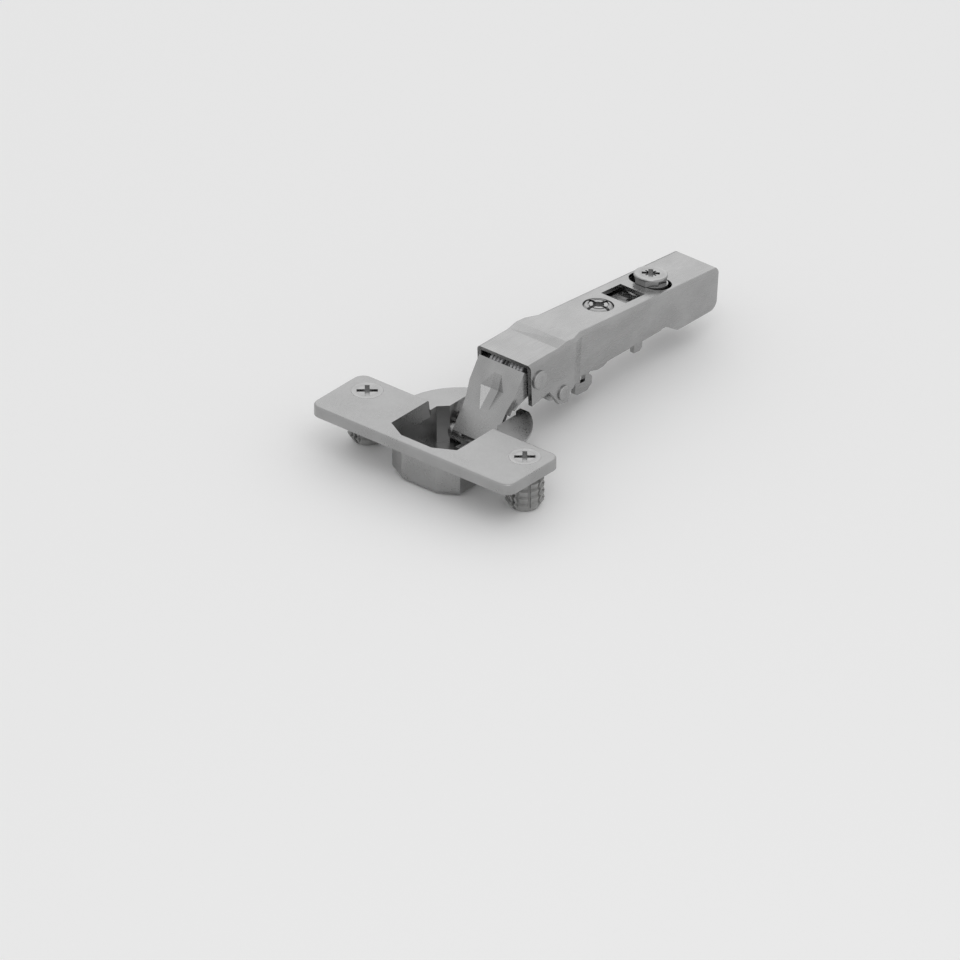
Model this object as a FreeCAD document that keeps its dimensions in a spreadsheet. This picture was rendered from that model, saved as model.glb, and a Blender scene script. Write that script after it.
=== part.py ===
import FreeCAD, Part
import os
import re
import Sketcher

# Concealed cup hinge for a 35 mm bore, shown fully open.
# The origin lies on the bore's axis in the plane of the door's face, under the flange.
# X runs along the flange, Y towards the hinge arm and Z out of the door.

V = FreeCAD.Vector
doc = FreeCAD.newDocument("cup_hinge")
sheet = doc.addObject("Spreadsheet::Sheet", "sizes")

SIZES = (
    # Cup and flange
    ("flange_end", 6.9, "flange beyond the middle of each dowel"),
    ("flange_front", 20.1, "flange edge ahead of the bore axis"),
    ("flange_behind", 0.6, "flange edge behind the bore axis"),
    ("flange_thick", 3.0, "flange above the door's face"),
    ("flange_corner", 3.0, "flange corner radius"),
    ("flange_edge", 0.5, "rounding of the flange's upper edge"),
    ("rim_radius", 18.45, "rim that covers the bore's edge"),
    ("rim_thick", 0.5, "rim above the door's face"),
    ("rim_flat", 15.8, "flat cut of the rim behind the axis"),
    ("cup_depth", 10.9, "cup below the door's face"),
    ("cup_wall", 1.0, "cup walls and floor"),
    ("cup_foot", 1.5, "rounding of the cup's lower edge"),
    ("cup_front", 16.35, "cup's front wall ahead of the axis"),
    ("cup_front_half", 5.6, "half width of the front wall"),
    ("cup_shoulder", 13.3, "end of the slanted front walls"),
    ("cup_side_half", 11.2, "half width over the side walls"),
    ("cup_side_back", 3.4, "end of the side walls behind the axis"),
    ("tail_start", 5.75, "start of the narrow tail"),
    ("tail_half", 8.85, "half width over the tail's walls"),
    ("cup_back", 15.0, "back of the cup"),
    ("mouth_half", 6.7, "half width of the open back"),
    ("flare_front", 1.85, "how far the flange's opening runs ahead of the pocket"),
    ("flare_side", 0.65, "how far the flange's opening runs beside the pocket"),
    ("flare_drop", 1.5, "start of the flare below the door's face"),
    ("window_half", 5.0, "half width of the hole in the floor"),
    ("window_start", 4.1, "front edge of the hole in the floor"),
    # Fixing
    ("fixing_spacing", 52.0, "distance of the two dowels"),
    ("fixing_ahead", 5.5, "dowels ahead of the bore axis"),
    ("dowel_radius", 5.0, "dowel over its barbs"),
    ("dowel_core_radius", 4.35, "dowel between its barbs"),
    ("dowel_nose_radius", 3.7, "dowel at its lower end"),
    ("dowel_length", 11.2, "dowel below the flange"),
    ("dowel_collar", 1.2, "plain collar under the flange"),
    ("dowel_first_barb", 2.65, "crest of the uppermost barb below the flange"),
    ("dowel_barb_pitch", 2.04, "distance of the barbs"),
    ("dowel_barb_step", 0.35, "height of each barb's upper side"),
    ("dowel_slit", 0.8, "width of the slits that let the dowel spread"),
    ("screw_head_radius", 4.1, "fixing screw's flush head"),
    ("screw_shank_radius", 1.75, "fixing screw's shank"),
    ("screw_length", 12.4, "fixing screw"),
    ("screw_tip", 2.0, "point of the fixing screw"),
    ("cross_span", 5.4, "cross recess from end to end"),
    ("cross_width", 1.24, "width of the cross recess"),
    ("cross_depth", 1.2, "depth of the cross recess"),
    ("cross_turn", 40.0, "turn of the cross recesses"),
    # Pivots
    ("lower_pin_y", 7.0, "lower cup pin behind the axis"),
    ("lower_pin_drop", 7.25, "lower cup pin below the door's face"),
    ("lower_pin_radius", 1.25, "lower cup pin"),
    ("upper_pin_y", 9.54, "upper cup pin behind the axis"),
    ("upper_pin_drop", 4.42, "upper cup pin below the door's face"),
    ("upper_pin_radius", 1.0, "upper cup pin"),
    ("link_length", 20.06, "lower cup pin to front arm pin"),
    ("link_angle", 47.32, "outer link above the door's face when open"),
    ("arm_tilt", 5.5, "arm falls towards its rear end when open"),
    ("front_pin_radius", 1.75, "front arm pin"),
    ("front_head_radius", 2.5, "rivet heads of the front arm pin"),
    ("rear_pin_back", 10.22, "rear arm pin behind the front one, along the arm"),
    ("rear_pin_drop", 7.05, "rear arm pin below the front one"),
    ("rear_pin_radius", 1.5, "rear arm pin"),
    ("rear_head_radius", 2.03, "rivet heads of the rear arm pin"),
    ("rivet_head", 0.6, "thickness of the rivet heads"),
    ("seat_gap", 0.02, "gap of pressed pins"),
    ("run_gap", 0.05, "gap of turning pins"),
    ("side_gap", 0.2, "gap beside moving parts"),
    # Outer link
    ("plate_lean", 8.3, "link plate against the line of its pivots"),
    ("link_sheet", 1.1, "sheet of the outer link"),
    ("plate_top", 20.2, "upper end of the plate, from the lower pivot"),
    ("shoulder_top", 13.4, "upper bend of the plate's edges"),
    ("shoulder_foot", 9.3, "lower bend of the plate's edges"),
    ("foot_half", 6.6, "half width of the plate's foot"),
    ("knuckle_half", 3.7, "half width of the gap between the rolled knuckles"),
    ("cheek_start", 8.6, "lower end of the cheeks"),
    ("cheek_eye", 3.0, "cheek radius round the front arm pin"),
    ("bead_half", 3.7, "half width of the pressed diamond"),
    ("bead_low", 7.25, "lower end of the pressed diamond"),
    ("bead_wide", 13.4, "widest place of the pressed diamond"),
    ("bead_high", 17.5, "upper end of the pressed diamond"),
    ("bead_flat", 1.2, "half width of the diamond's ends and valley"),
    ("bead_depth", 1.2, "depth of the pressed diamond"),
    # Inner link
    ("inner_eye", 1.7, "inner link round the upper cup pin"),
    ("inner_half", 5.8, "half width of the inner link"),
    ("inner_neck_half", 3.4, "half width of the inner link in the cup"),
    ("inner_neck_reach", 6.6, "length of the narrow end"),
    ("inner_band", 1.0, "half thickness of the inner link"),
    ("inner_rise", 5.0, "rise of the inner link's arch"),
    ("slot_room", 0.43, "play of the rear arm pin across the slotted eye"),
    ("slot_back", 0.6, "slot ahead of the rear arm pin, along the link"),
    ("slot_ahead", 2.8, "slot behind the rear arm pin, along the link"),
    ("slot_wall", 1.2, "wall round the slotted eye"),
    # Arm
    ("arm_sheet", 1.2, "sheet of the arm"),
    ("arm_bend", 1.1, "outer radius of the arm's long bends"),
    ("head_half", 8.85, "half width of the arm's head"),
    ("rear_half", 7.45, "half width of the arm's rear"),
    ("neck_start", 14.2, "start of the neck behind the front pin"),
    ("neck_end", 18.1, "end of the neck"),
    ("nose_reach", 3.77, "upper front edge ahead of the front pin"),
    ("nose_top", 4.76, "upper front edge above the front pin"),
    ("nose_foot", 2.15, "lower front edge ahead of the front pin"),
    ("nose_drop", 6.84, "lower front edge below the front pin"),
    ("belly_back", 4.6, "recess between the nose and the ear"),
    ("belly_drop", 4.98, "recess below the front pin"),
    ("ear_half", 1.45, "half width of the ear's lower edge"),
    ("ear_drop", 3.0, "ear below the rear arm pin"),
    ("ear_back", 3.05, "ear behind the rear arm pin"),
    ("step_start", 7.78, "start of the step in the arm's top"),
    ("step_low", 5.82, "arm's top ahead of the step"),
    ("step_end", 11.09, "end of the step in the arm's top"),
    ("arm_top", 6.8, "arm's top behind the step"),
    ("arm_rear", 72.0, "rear end behind the front pin"),
    ("skirt_front", 5.63, "side wall below the front pin, behind the neck"),
    ("skirt_rear", 2.86, "side wall below the front pin, ahead of the tail"),
    ("skirt_end", 52.0, "start of the tail's deeper side wall"),
    ("tail_slope", 56.9, "end of the slope into the tail"),
    ("tail_drop", 5.4, "tail's side wall below the front pin"),
    ("tail_rise", 4.2, "side wall below the front pin at the rear end"),
    ("tail_round", 2.6, "rounding of the rear lower corner"),
    # Adjusting screws
    ("side_screw_back", 33.3, "side screw behind the front pin"),
    ("side_screw_radius", 3.85, "side screw's head"),
    ("side_head_rise", 0.25, "side screw's head above the arm's top"),
    ("side_thread_radius", 2.4, "side screw's thread"),
    ("side_neck_radius", 1.7, "side screw's neck in the carrier's slot"),
    ("side_foot_radius", 2.9, "side screw's foot under the carrier"),
    ("side_travel", 0.6, "how far the carrier tilts up and down on the neck"),
    ("keyhole_back", 26.8, "round end of the carrier's slot behind the front pin"),
    ("keyhole_radius", 3.1, "round end of the carrier's slot, where the foot goes in"),
    ("window_front", 39.2, "window in the arm's top, front edge"),
    ("window_rear", 46.9, "window in the arm's top, rear edge"),
    ("window_side", 4.05, "half width of the window"),
    ("cam_back", 53.8, "depth cam behind the front pin"),
    ("cam_head_radius", 4.35, "depth cam's head"),
    ("cam_head_rise", 2.2, "depth cam's head above the arm's top"),
    ("cam_throw", 1.2, "offset of the cam's disc"),
    ("cam_disc_radius", 3.6, "cam's disc in the arm's slot"),
    ("cam_disc_gap", 0.15, "play of the cam's disc in the slot"),
    ("cam_slot_half", 2.3, "middle of the slot to the middle of its round ends"),
    ("stud_radius", 1.4, "stud that carries the cam"),
    ("stud_head_radius", 2.6, "foot of the stud under the carrier"),
    # Clip carrier
    ("carrier_half", 5.8, "half width over the carrier's sides"),
    ("carrier_sheet", 1.4, "sheet of the carrier"),
    ("carrier_bend", 1.1, "outer radius of the carrier's long bends"),
    ("carrier_top", 4.45, "carrier's top above the front pin"),
    ("carrier_front", 18.9, "carrier's front end"),
    ("carrier_rear", 66.0, "carrier's rear end"),
    ("port_front", 42.0, "front edge of the carrier's opening under the window"),
    ("port_rear", 47.8, "rear edge of the carrier's opening"),
    ("port_half", 4.0, "half width of the carrier's opening"),
    ("tongue_half", 2.3, "half width of the round tongue in the carrier's opening"),
    ("carrier_show", 1.75, "carrier's edge below the arm's side wall"),
    ("hook_rear", 25.4, "rear edge of the front hook"),
    ("hook_drop", 12.1, "front hook below the front pin"),
    ("tab_front", 41.8, "front edge of the rear tab"),
    ("tab_rear", 45.0, "rear edge of the rear tab"),
    ("tab_drop", 7.6, "rear tab below the front pin"),
    # Clip latch
    ("latch_pin_back", 57.5, "latch pin behind the front arm pin"),
    ("latch_pin_drop", 0.6, "latch pin below the front arm pin"),
    ("latch_pin_radius", 1.2, "latch pin"),
    ("latch_half", 4.1, "half width over the latch"),
    ("latch_sheet", 1.2, "sheet of the latch"),
    ("latch_spring_radius", 1.7, "latch spring's coil"),
    ("latch_spring_wire", 0.3, "half thickness of the latch spring's wire"),
    # Closing spring
    ("coil_radius", 2.8, "closing spring's coils"),
    ("coil_wire", 0.5, "half thickness of the spring's wire"),
    ("coil_pitch", 1.15, "distance of the coils"),
    ("coil_start", 1.5, "first coil beside the middle of the arm"),
    ("sleeve_radius", 2.15, "sleeve that carries the coils"),
)

for row, (alias, amount, meaning) in enumerate(SIZES, start=1):
    sheet.set(f"A{row}", alias)
    sheet.set(f"B{row}", str(amount))
    sheet.set(f"C{row}", meaning)
    sheet.setAlias(f"B{row}", alias)
doc.recompute()
ALIASES = {alias for alias, _, _ in SIZES}

# Derived places, written with the sheet's names
FRONT_PIN_Y = "(lower_pin_y + link_length * cos(link_angle))"
FRONT_PIN_Z = "(link_length * sin(link_angle) - lower_pin_drop)"
REAR_PIN_Y = f"({FRONT_PIN_Y} + rear_pin_back * cos(arm_tilt) - rear_pin_drop * sin(arm_tilt))"
REAR_PIN_Z = f"({FRONT_PIN_Z} - rear_pin_back * sin(arm_tilt) - rear_pin_drop * cos(arm_tilt))"
PLATE_ANGLE = "(link_angle + plate_lean)"
PLATE_FACE = "(lower_pin_radius + run_gap + link_sheet)"
PIN_ON_PLATE_Y = "(link_length * cos(plate_lean))"
PIN_ON_PLATE_Z = "(-link_length * sin(plate_lean))"
HEAD_INSIDE = "(head_half - arm_sheet)"
LINK_HALF = "(head_half - arm_sheet - side_gap)"
TAIL_INSIDE = "(tail_half - cup_wall)"
ARM_UNDER = "(arm_top - arm_sheet)"
CARRIER_UNDER = "(carrier_top - carrier_sheet)"
SCREW_HEAD_DEPTH = "(screw_head_radius - screw_shank_radius)"
THROUGH = "(3 * fixing_spacing)"


def bound(text):
    """Expression with every size named in it looked up in the sheet."""
    return re.sub(r"[a-z_]+", lambda found: "sizes." + found[0] if found[0] in ALIASES else found[0], text)


def number(text):
    """Value of an expression of sizes, in millimetres or degrees."""
    result = sheet.evalExpression(bound(str(text)))
    return float(getattr(result, "Value", result))


def new_body(name):
    return doc.addObject("PartDesign::Body", name)


def new_sketch(body, name, plane, offset="0", turn="0"):
    """Empty sketch on one of the body's origin planes, shifted along the plane's normal."""
    sketch = body.newObject("Sketcher::SketchObject", name)
    support = [feature for feature in body.Origin.OriginFeatures if feature.Role == plane + "_Plane"]
    sketch.AttachmentSupport = [(support[0], "")]
    sketch.MapMode = "FlatFace"
    sketch.setExpression("AttachmentOffset.Base.z", bound(offset))
    if turn != "0":
        sketch.setExpression("AttachmentOffset.Rotation.Angle", bound(turn))
    return sketch


def hold(sketch, kind, geometry, point, text):
    """Fixes one coordinate of a sketch point to an expression of sizes."""
    if number(text) == 0:
        axis = -2 if kind == "DistanceX" else -1
        sketch.addConstraint(Sketcher.Constraint("PointOnObject", geometry, point, axis))
        return
    place = sketch.addConstraint(Sketcher.Constraint(kind, -1, 1, geometry, point, number(text)))
    sketch.setExpression(f"Constraints[{place}]", bound(text))


def add_outline(sketch, corners):
    """Closed straight-sided loop; each corner is a pair of expressions."""
    spots = [V(number(x), number(y), 0) for x, y in corners]
    first = sketch.GeometryCount
    count = len(spots)
    for i, spot in enumerate(spots):
        sketch.addGeometry(Part.LineSegment(spot, spots[(i + 1) % count]), False)
    for i, (x, y) in enumerate(corners):
        sketch.addConstraint(Sketcher.Constraint("Coincident", first + i, 2, first + (i + 1) % count, 1))
        hold(sketch, "DistanceX", first + i, 1, x)
        hold(sketch, "DistanceY", first + i, 1, y)


def add_circle(sketch, x, y, radius):
    place = sketch.addGeometry(Part.Circle(V(number(x), number(y), 0), V(0, 0, 1), number(radius)), False)
    hold(sketch, "DistanceX", place, 3, x)
    hold(sketch, "DistanceY", place, 3, y)
    size = sketch.addConstraint(Sketcher.Constraint("Radius", place, number(radius)))
    sketch.setExpression(f"Constraints[{size}]", bound(radius))


def mirrored(corners):
    """Loop from its right half, which runs from the front to the back."""
    return list(corners) + [("-(" + x + ")", y) for x, y in reversed(corners)]


def grow(body, kind, sketch, length, both_ways=False, backwards=False):
    """Pad or pocket of a sketch that has to change the body's volume."""
    before = body.Shape.Volume if body.Tip and not body.Shape.isNull() else 0.0
    feature = body.newObject("PartDesign::" + kind, sketch.Name + "_" + kind.lower())
    feature.Profile = sketch
    feature.setExpression("Length", bound(length))
    feature.Midplane = both_ways
    feature.Reversed = backwards
    doc.recompute()
    change = body.Shape.Volume - before
    if change * (1 if kind == "Pad" else -1) <= 1e-6:
        raise RuntimeError(f"{feature.Name} changes nothing")
    return feature


def pad(body, sketch, length, both_ways=False, backwards=False):
    return grow(body, "Pad", sketch, length, both_ways, backwards)


def pocket(body, sketch, length, both_ways=False, backwards=False):
    return grow(body, "Pocket", sketch, length, both_ways, backwards)


def turned(body, name, plane, profile):
    """Solid of revolution; the profile's second coordinate is its radius."""
    sketch = new_sketch(body, name, plane)
    add_outline(sketch, profile)
    feature = body.newObject("PartDesign::Revolution", name + "_turned")
    feature.Profile = sketch
    feature.ReferenceAxis = (sketch, ["V_Axis" if plane == "XZ" else "H_Axis"])
    feature.Angle = 360
    doc.recompute()
    return feature


def edge_names(shape, test):
    return [f"Edge{i}" for i, edge in enumerate(shape.Edges, start=1) if test(edge)]


def round_edges(body, test, radius, kind="Fillet"):
    """Fillet or chamfer on the edges that the test picks."""
    base = body.Tip
    feature = body.newObject("PartDesign::" + kind, body.Name + "_" + kind.lower())
    feature.Base = (base, edge_names(base.Shape, test))
    feature.setExpression("Radius" if kind == "Fillet" else "Size", bound(radius))
    doc.recompute()
    if "Invalid" in feature.State or feature.Shape.isNull():
        raise RuntimeError(f"{feature.Name} cannot be rounded")
    return feature


def upright(edge):
    ends = [vertex.Point for vertex in edge.Vertexes]
    return len(ends) == 2 and abs((ends[0] - ends[1]).normalize().z) > 0.999


def place(piece, y="0", z="0", angle="0", x="0"):
    """Seats a piece by its own origin, turned about X."""
    piece.Placement = FreeCAD.Placement(V(0, 0, 0), FreeCAD.Rotation(V(1, 0, 0), number(angle)))
    piece.setExpression("Placement.Base.x", bound(x))
    piece.setExpression("Placement.Base.y", bound(y))
    piece.setExpression("Placement.Base.z", bound(z))
    if angle != "0":
        piece.setExpression("Placement.Rotation.Angle", bound(angle))


def place_on_arm(piece):
    """Seats a piece that is drawn from the front arm pin, along the tilted arm."""
    piece.Placement = FreeCAD.Placement(V(0, 0, 0), FreeCAD.Rotation(V(-1, 0, 0), number("arm_tilt")))
    piece.setExpression("Placement.Base.y", bound(FRONT_PIN_Y))
    piece.setExpression("Placement.Base.z", bound(FRONT_PIN_Z))
    piece.setExpression("Placement.Rotation.Angle", bound("arm_tilt"))


def arm_placement():
    return FreeCAD.Placement(V(0, number(FRONT_PIN_Y), number(FRONT_PIN_Z)),
                             FreeCAD.Rotation(V(-1, 0, 0), number("arm_tilt")))


def cross_recess(body, name, plane_height, span, width, depth, turn, x="0", y="0"):
    """Cross-shaped recess for a screwdriver, cut down from a flat head."""
    sketch = new_sketch(body, name, "XY", plane_height, turn)
    sketch.setExpression("AttachmentOffset.Base.x", bound(x))
    sketch.setExpression("AttachmentOffset.Base.y", bound(y))
    arm, half = f"({span} / 2)", f"({width} / 2)"
    right = [(half, "-" + arm), (half, "-" + half), (arm, "-" + half), (arm, half), (half, half), (half, arm)]
    add_outline(sketch, mirrored(right))
    pocket(body, sketch, depth)


pieces = {}


def keep(piece, name):
    """Marks a finished piece as a node of its own."""
    piece.Label = name
    pieces[name] = piece


# Cup: one zinc casting with flange, rim and an open-backed pocket

def pocket_half():
    """Right half of the pocket's plan, inside its walls."""
    return [("cup_front_half - 0.25 * cup_wall", "cup_wall - cup_front"),
            ("cup_side_half - cup_wall", "0.6 * cup_wall - cup_shoulder"),
            ("cup_side_half - cup_wall", "cup_side_back - 0.4 * cup_wall"),
            (TAIL_INSIDE, "tail_start - 0.4 * cup_wall")]


def build_cup():
    cup = new_body("cup_casting")
    lowest = 1e-3 - number("cup_depth")
    flange = new_sketch(cup, "flange", "XY")
    add_outline(flange, mirrored([("fixing_spacing / 2 + flange_end", "-flange_front"),
                                 ("fixing_spacing / 2 + flange_end", "flange_behind")]))
    pad(cup, flange, "flange_thick")
    round_edges(cup, upright, "flange_corner")

    rim = new_sketch(cup, "rim", "XY")
    add_circle(rim, "0", "0", "rim_radius")
    pad(cup, rim, "rim_thick")
    flat = new_sketch(cup, "rim_cut", "XY")
    add_outline(flat, mirrored([("rim_radius", "rim_flat"), ("rim_radius", "2 * rim_radius")]))
    pocket(cup, flat, "rim_thick", backwards=True)

    shell = new_sketch(cup, "shell", "XY")
    add_outline(shell, mirrored([("cup_front_half", "-cup_front"), ("cup_side_half", "-cup_shoulder"),
                                 ("cup_side_half", "cup_side_back"), ("tail_half", "tail_start"),
                                 ("tail_half", "cup_back")]))
    pad(cup, shell, "cup_depth", backwards=True)
    round_edges(cup, lambda edge: edge.BoundBox.ZMax < lowest, "cup_foot")

    well = new_sketch(cup, "well", "XY", "cup_wall - cup_depth")
    add_outline(well, mirrored(pocket_half() + [(TAIL_INSIDE, "cup_back - cup_wall")]))
    pocket(cup, well, "cup_depth + flange_thick", backwards=True)

    mouth = new_sketch(cup, "mouth", "XY", "cup_wall - cup_depth")
    add_outline(mouth, mirrored([("mouth_half", "0"), ("mouth_half", "rim_radius")]))
    pocket(cup, mouth, "cup_depth + flange_thick", backwards=True)

    opening_low = new_sketch(cup, "opening_low", "XY", "-flare_drop")
    add_outline(opening_low, mirrored([("cup_front_half - 0.25 * cup_wall", "cup_wall - cup_front"),
                                       ("cup_side_half - cup_wall", "0.6 * cup_wall - cup_shoulder"),
                                       ("cup_side_half - cup_wall", "flange_behind")]))
    opening_high = new_sketch(cup, "opening_high", "XY", "flange_thick")
    add_outline(opening_high, mirrored([("cup_front_half - 0.6", "cup_wall - cup_front - flare_front"),
                                        ("cup_side_half - cup_wall + flare_side", "-cup_shoulder - 0.8"),
                                        ("cup_side_half - cup_wall + flare_side", "flange_behind")]))
    flare = cup.newObject("PartDesign::SubtractiveLoft", "flare")
    flare.Profile = opening_low
    flare.Sections = [opening_high]
    flare.Ruled = True
    doc.recompute()
    top = number("flange_thick") - 1e-3
    ahead = number("-flange_front") + 0.01
    round_edges(cup, lambda edge: edge.BoundBox.ZMin > top
                and (abs(edge.CenterOfMass.x) > 13.0 or edge.BoundBox.YMin < ahead), "flange_edge")

    floor_hole = new_sketch(cup, "floor_hole", "XY", "-cup_depth")
    add_outline(floor_hole, mirrored([("window_half", "window_start"), ("window_half", "rim_radius")]))
    pocket(cup, floor_hole, "2 * cup_wall", both_ways=True)

    bosses = new_sketch(cup, "bosses", "YZ", "foot_half + side_gap")
    add_circle(bosses, "lower_pin_y", "-lower_pin_drop", "lower_pin_radius + cup_wall")
    pad(cup, bosses, f"{TAIL_INSIDE} - foot_half - side_gap")
    bosses_left = new_sketch(cup, "bosses_left", "YZ", "-foot_half - side_gap")
    add_circle(bosses_left, "lower_pin_y", "-lower_pin_drop", "lower_pin_radius + cup_wall")
    pad(cup, bosses_left, f"{TAIL_INSIDE} - foot_half - side_gap", backwards=True)

    pin_holes = new_sketch(cup, "pin_holes", "YZ")
    add_circle(pin_holes, "lower_pin_y", "-lower_pin_drop", "lower_pin_radius + seat_gap")
    add_circle(pin_holes, "upper_pin_y", "-upper_pin_drop", "upper_pin_radius + seat_gap")
    pocket(cup, pin_holes, THROUGH, both_ways=True)

    screw_holes = new_sketch(cup, "screw_holes", "XY")
    for side in ("fixing_spacing / 2", "-fixing_spacing / 2"):
        add_circle(screw_holes, side, "-fixing_ahead", "screw_shank_radius + run_gap")
    pocket(cup, screw_holes, THROUGH, both_ways=True)
    for name, side in (("right", "fixing_spacing / 2"), ("left", "-fixing_spacing / 2")):
        sink = cup.newObject("PartDesign::SubtractiveCone", "sink_" + name)
        sink.setExpression("Radius1", bound("screw_shank_radius + run_gap"))
        sink.setExpression("Radius2", bound("screw_head_radius + run_gap"))
        sink.setExpression("Height", bound(SCREW_HEAD_DEPTH))
        sink.setExpression("Placement.Base.x", bound(side))
        sink.setExpression("Placement.Base.y", bound("-fixing_ahead"))
        sink.setExpression("Placement.Base.z", bound(f"flange_thick - {SCREW_HEAD_DEPTH}"))
        doc.recompute()
    keep(cup, "hinge_cup")


# Dowels: split plastic plugs with saw-tooth barbs

DOWEL_BARBS = 4


def build_dowel(name, x):
    dowel = new_body("plug_" + name)
    bore = "(screw_shank_radius + run_gap)"
    crest = f"(dowel_first_barb + {DOWEL_BARBS - 1} * dowel_barb_pitch)"
    nose = f"(dowel_length - {crest})"
    profile = [(bore, "0"), (bore, "-dowel_length"), ("dowel_nose_radius - 0.5", "-dowel_length"),
               ("dowel_nose_radius", f"0.15 * {nose} - dowel_length"),
               ("0.5 * dowel_nose_radius + 0.5 * dowel_radius", f"0.6 * {nose} - dowel_length")]
    for barb in range(DOWEL_BARBS - 1, -1, -1):
        height = f"(dowel_first_barb + {barb} * dowel_barb_pitch)"
        profile.append(("dowel_radius", f"-{height}"))
        profile.append(("dowel_core_radius", f"dowel_barb_step - {height}"))
    profile += [("dowel_core_radius", "-dowel_collar"), ("dowel_radius", "0.1 - dowel_collar"), ("dowel_radius", "0")]
    turned(dowel, "barbs_" + name, "XZ", profile)
    slits = new_sketch(dowel, "slits_" + name, "XY", "-dowel_length")
    half = "(dowel_slit / 2)"
    add_outline(slits, mirrored([(half, "-2 * dowel_radius"), (half, "2 * dowel_radius")]))
    pocket(dowel, slits, "dowel_length - 2", backwards=True)
    grooves = new_sketch(dowel, "grooves_" + name, "XY", "-dowel_length")
    add_outline(grooves, [("0.94 * dowel_core_radius", "-" + half), ("2 * dowel_radius", "-" + half),
                          ("2 * dowel_radius", half), ("0.94 * dowel_core_radius", half)])
    groove = pocket(dowel, grooves, "dowel_length - dowel_collar", backwards=True)
    ring = dowel.newObject("PartDesign::PolarPattern", "ring_" + name)
    ring.Originals = [groove]
    ring.Axis = (grooves, ["N_Axis"])
    ring.Angle = 360
    ring.Occurrences = 10
    dowel.Tip = ring
    doc.recompute()
    place(dowel, "-fixing_ahead", "0", "0", x)
    keep(dowel, name)


# Fixing screws: flush heads with a cross recess

def build_fixing_screw(name, x):
    screw = new_body("screw_" + name)
    turned(screw, "blank_" + name, "XZ",
           [("0", "flange_thick"), ("screw_head_radius", "flange_thick"),
            ("screw_shank_radius", f"flange_thick - {SCREW_HEAD_DEPTH}"),
            ("screw_shank_radius", "flange_thick + screw_tip - screw_length"),
            ("0.2 * screw_shank_radius", "flange_thick - screw_length"),
            ("0", "flange_thick - screw_length")])
    cross_recess(screw, "cross_" + name, "flange_thick", "cross_span", "cross_width", "cross_depth", "cross_turn")
    place(screw, "-fixing_ahead", "0", "0", x)
    keep(screw, name)


def build_plain_pin(name, y, z, radius, half):
    """Pressed pin across the cup, with slightly broken ends."""
    pin = new_body("blank_" + name)
    bevel = f"(0.25 * {radius})"
    turned(pin, "bar_" + name, "XY",
           [(f"-{half}", "0"), (half, "0"), (half, f"{radius} - {bevel}"), (f"{half} - {bevel}", radius),
            (f"{bevel} - {half}", radius), (f"-{half}", f"{radius} - {bevel}")])
    place(pin, y, z)
    keep(pin, name)


def build_rivet(name, y, z, radius, head, half):
    """Riveted pin across the arm's head; its heads lie on the outer faces."""
    pin = new_body("blank_" + name)
    reach = f"({half} + seat_gap)"
    dome = "(0.35 * rivet_head)"
    right = [(reach, radius), (reach, head), (f"{reach} + rivet_head - {dome}", head),
             (f"{reach} + rivet_head", f"{head} - {dome}"), (f"{reach} + rivet_head", "0")]
    turned(pin, "bar_" + name, "XY", [("-(" + x + ")", r) for x, r in reversed(right)] + right)
    place(pin, y, z)
    keep(pin, name)


# Outer link: pressed plate with cheeks at the top and rolled knuckles at the foot
# It is drawn from the lower cup pin, with Y up the plate and Z out of its outer face.

def bead_solid(sink):
    """Six-sided pressed diamond that narrows to a short valley, moved inwards by sink."""
    face = number(PLATE_FACE) - sink
    half, flat = number("bead_half"), number("bead_flat")
    low, wide, high = number("bead_low"), number("bead_wide"), number("bead_high")
    rim = [V(-half, wide, face), V(-flat, high, face), V(flat, high, face),
           V(half, wide, face), V(flat, low, face), V(-flat, low, face)]
    valley_left = V(-flat, wide, face - number("bead_depth"))
    valley_right = V(flat, wide, face - number("bead_depth"))
    loops = [rim, [rim[0], rim[1], valley_left], [rim[1], rim[2], valley_right, valley_left],
             [rim[2], rim[3], valley_right], [rim[3], rim[4], valley_right],
             [rim[4], rim[5], valley_left, valley_right], [rim[5], rim[0], valley_left]]
    faces = [Part.Face(Part.makePolygon(loop + [loop[0]])) for loop in loops]
    solid = Part.Solid(Part.Shell(faces))
    if solid.Volume < 0:
        solid.reverse()
    return solid


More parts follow.
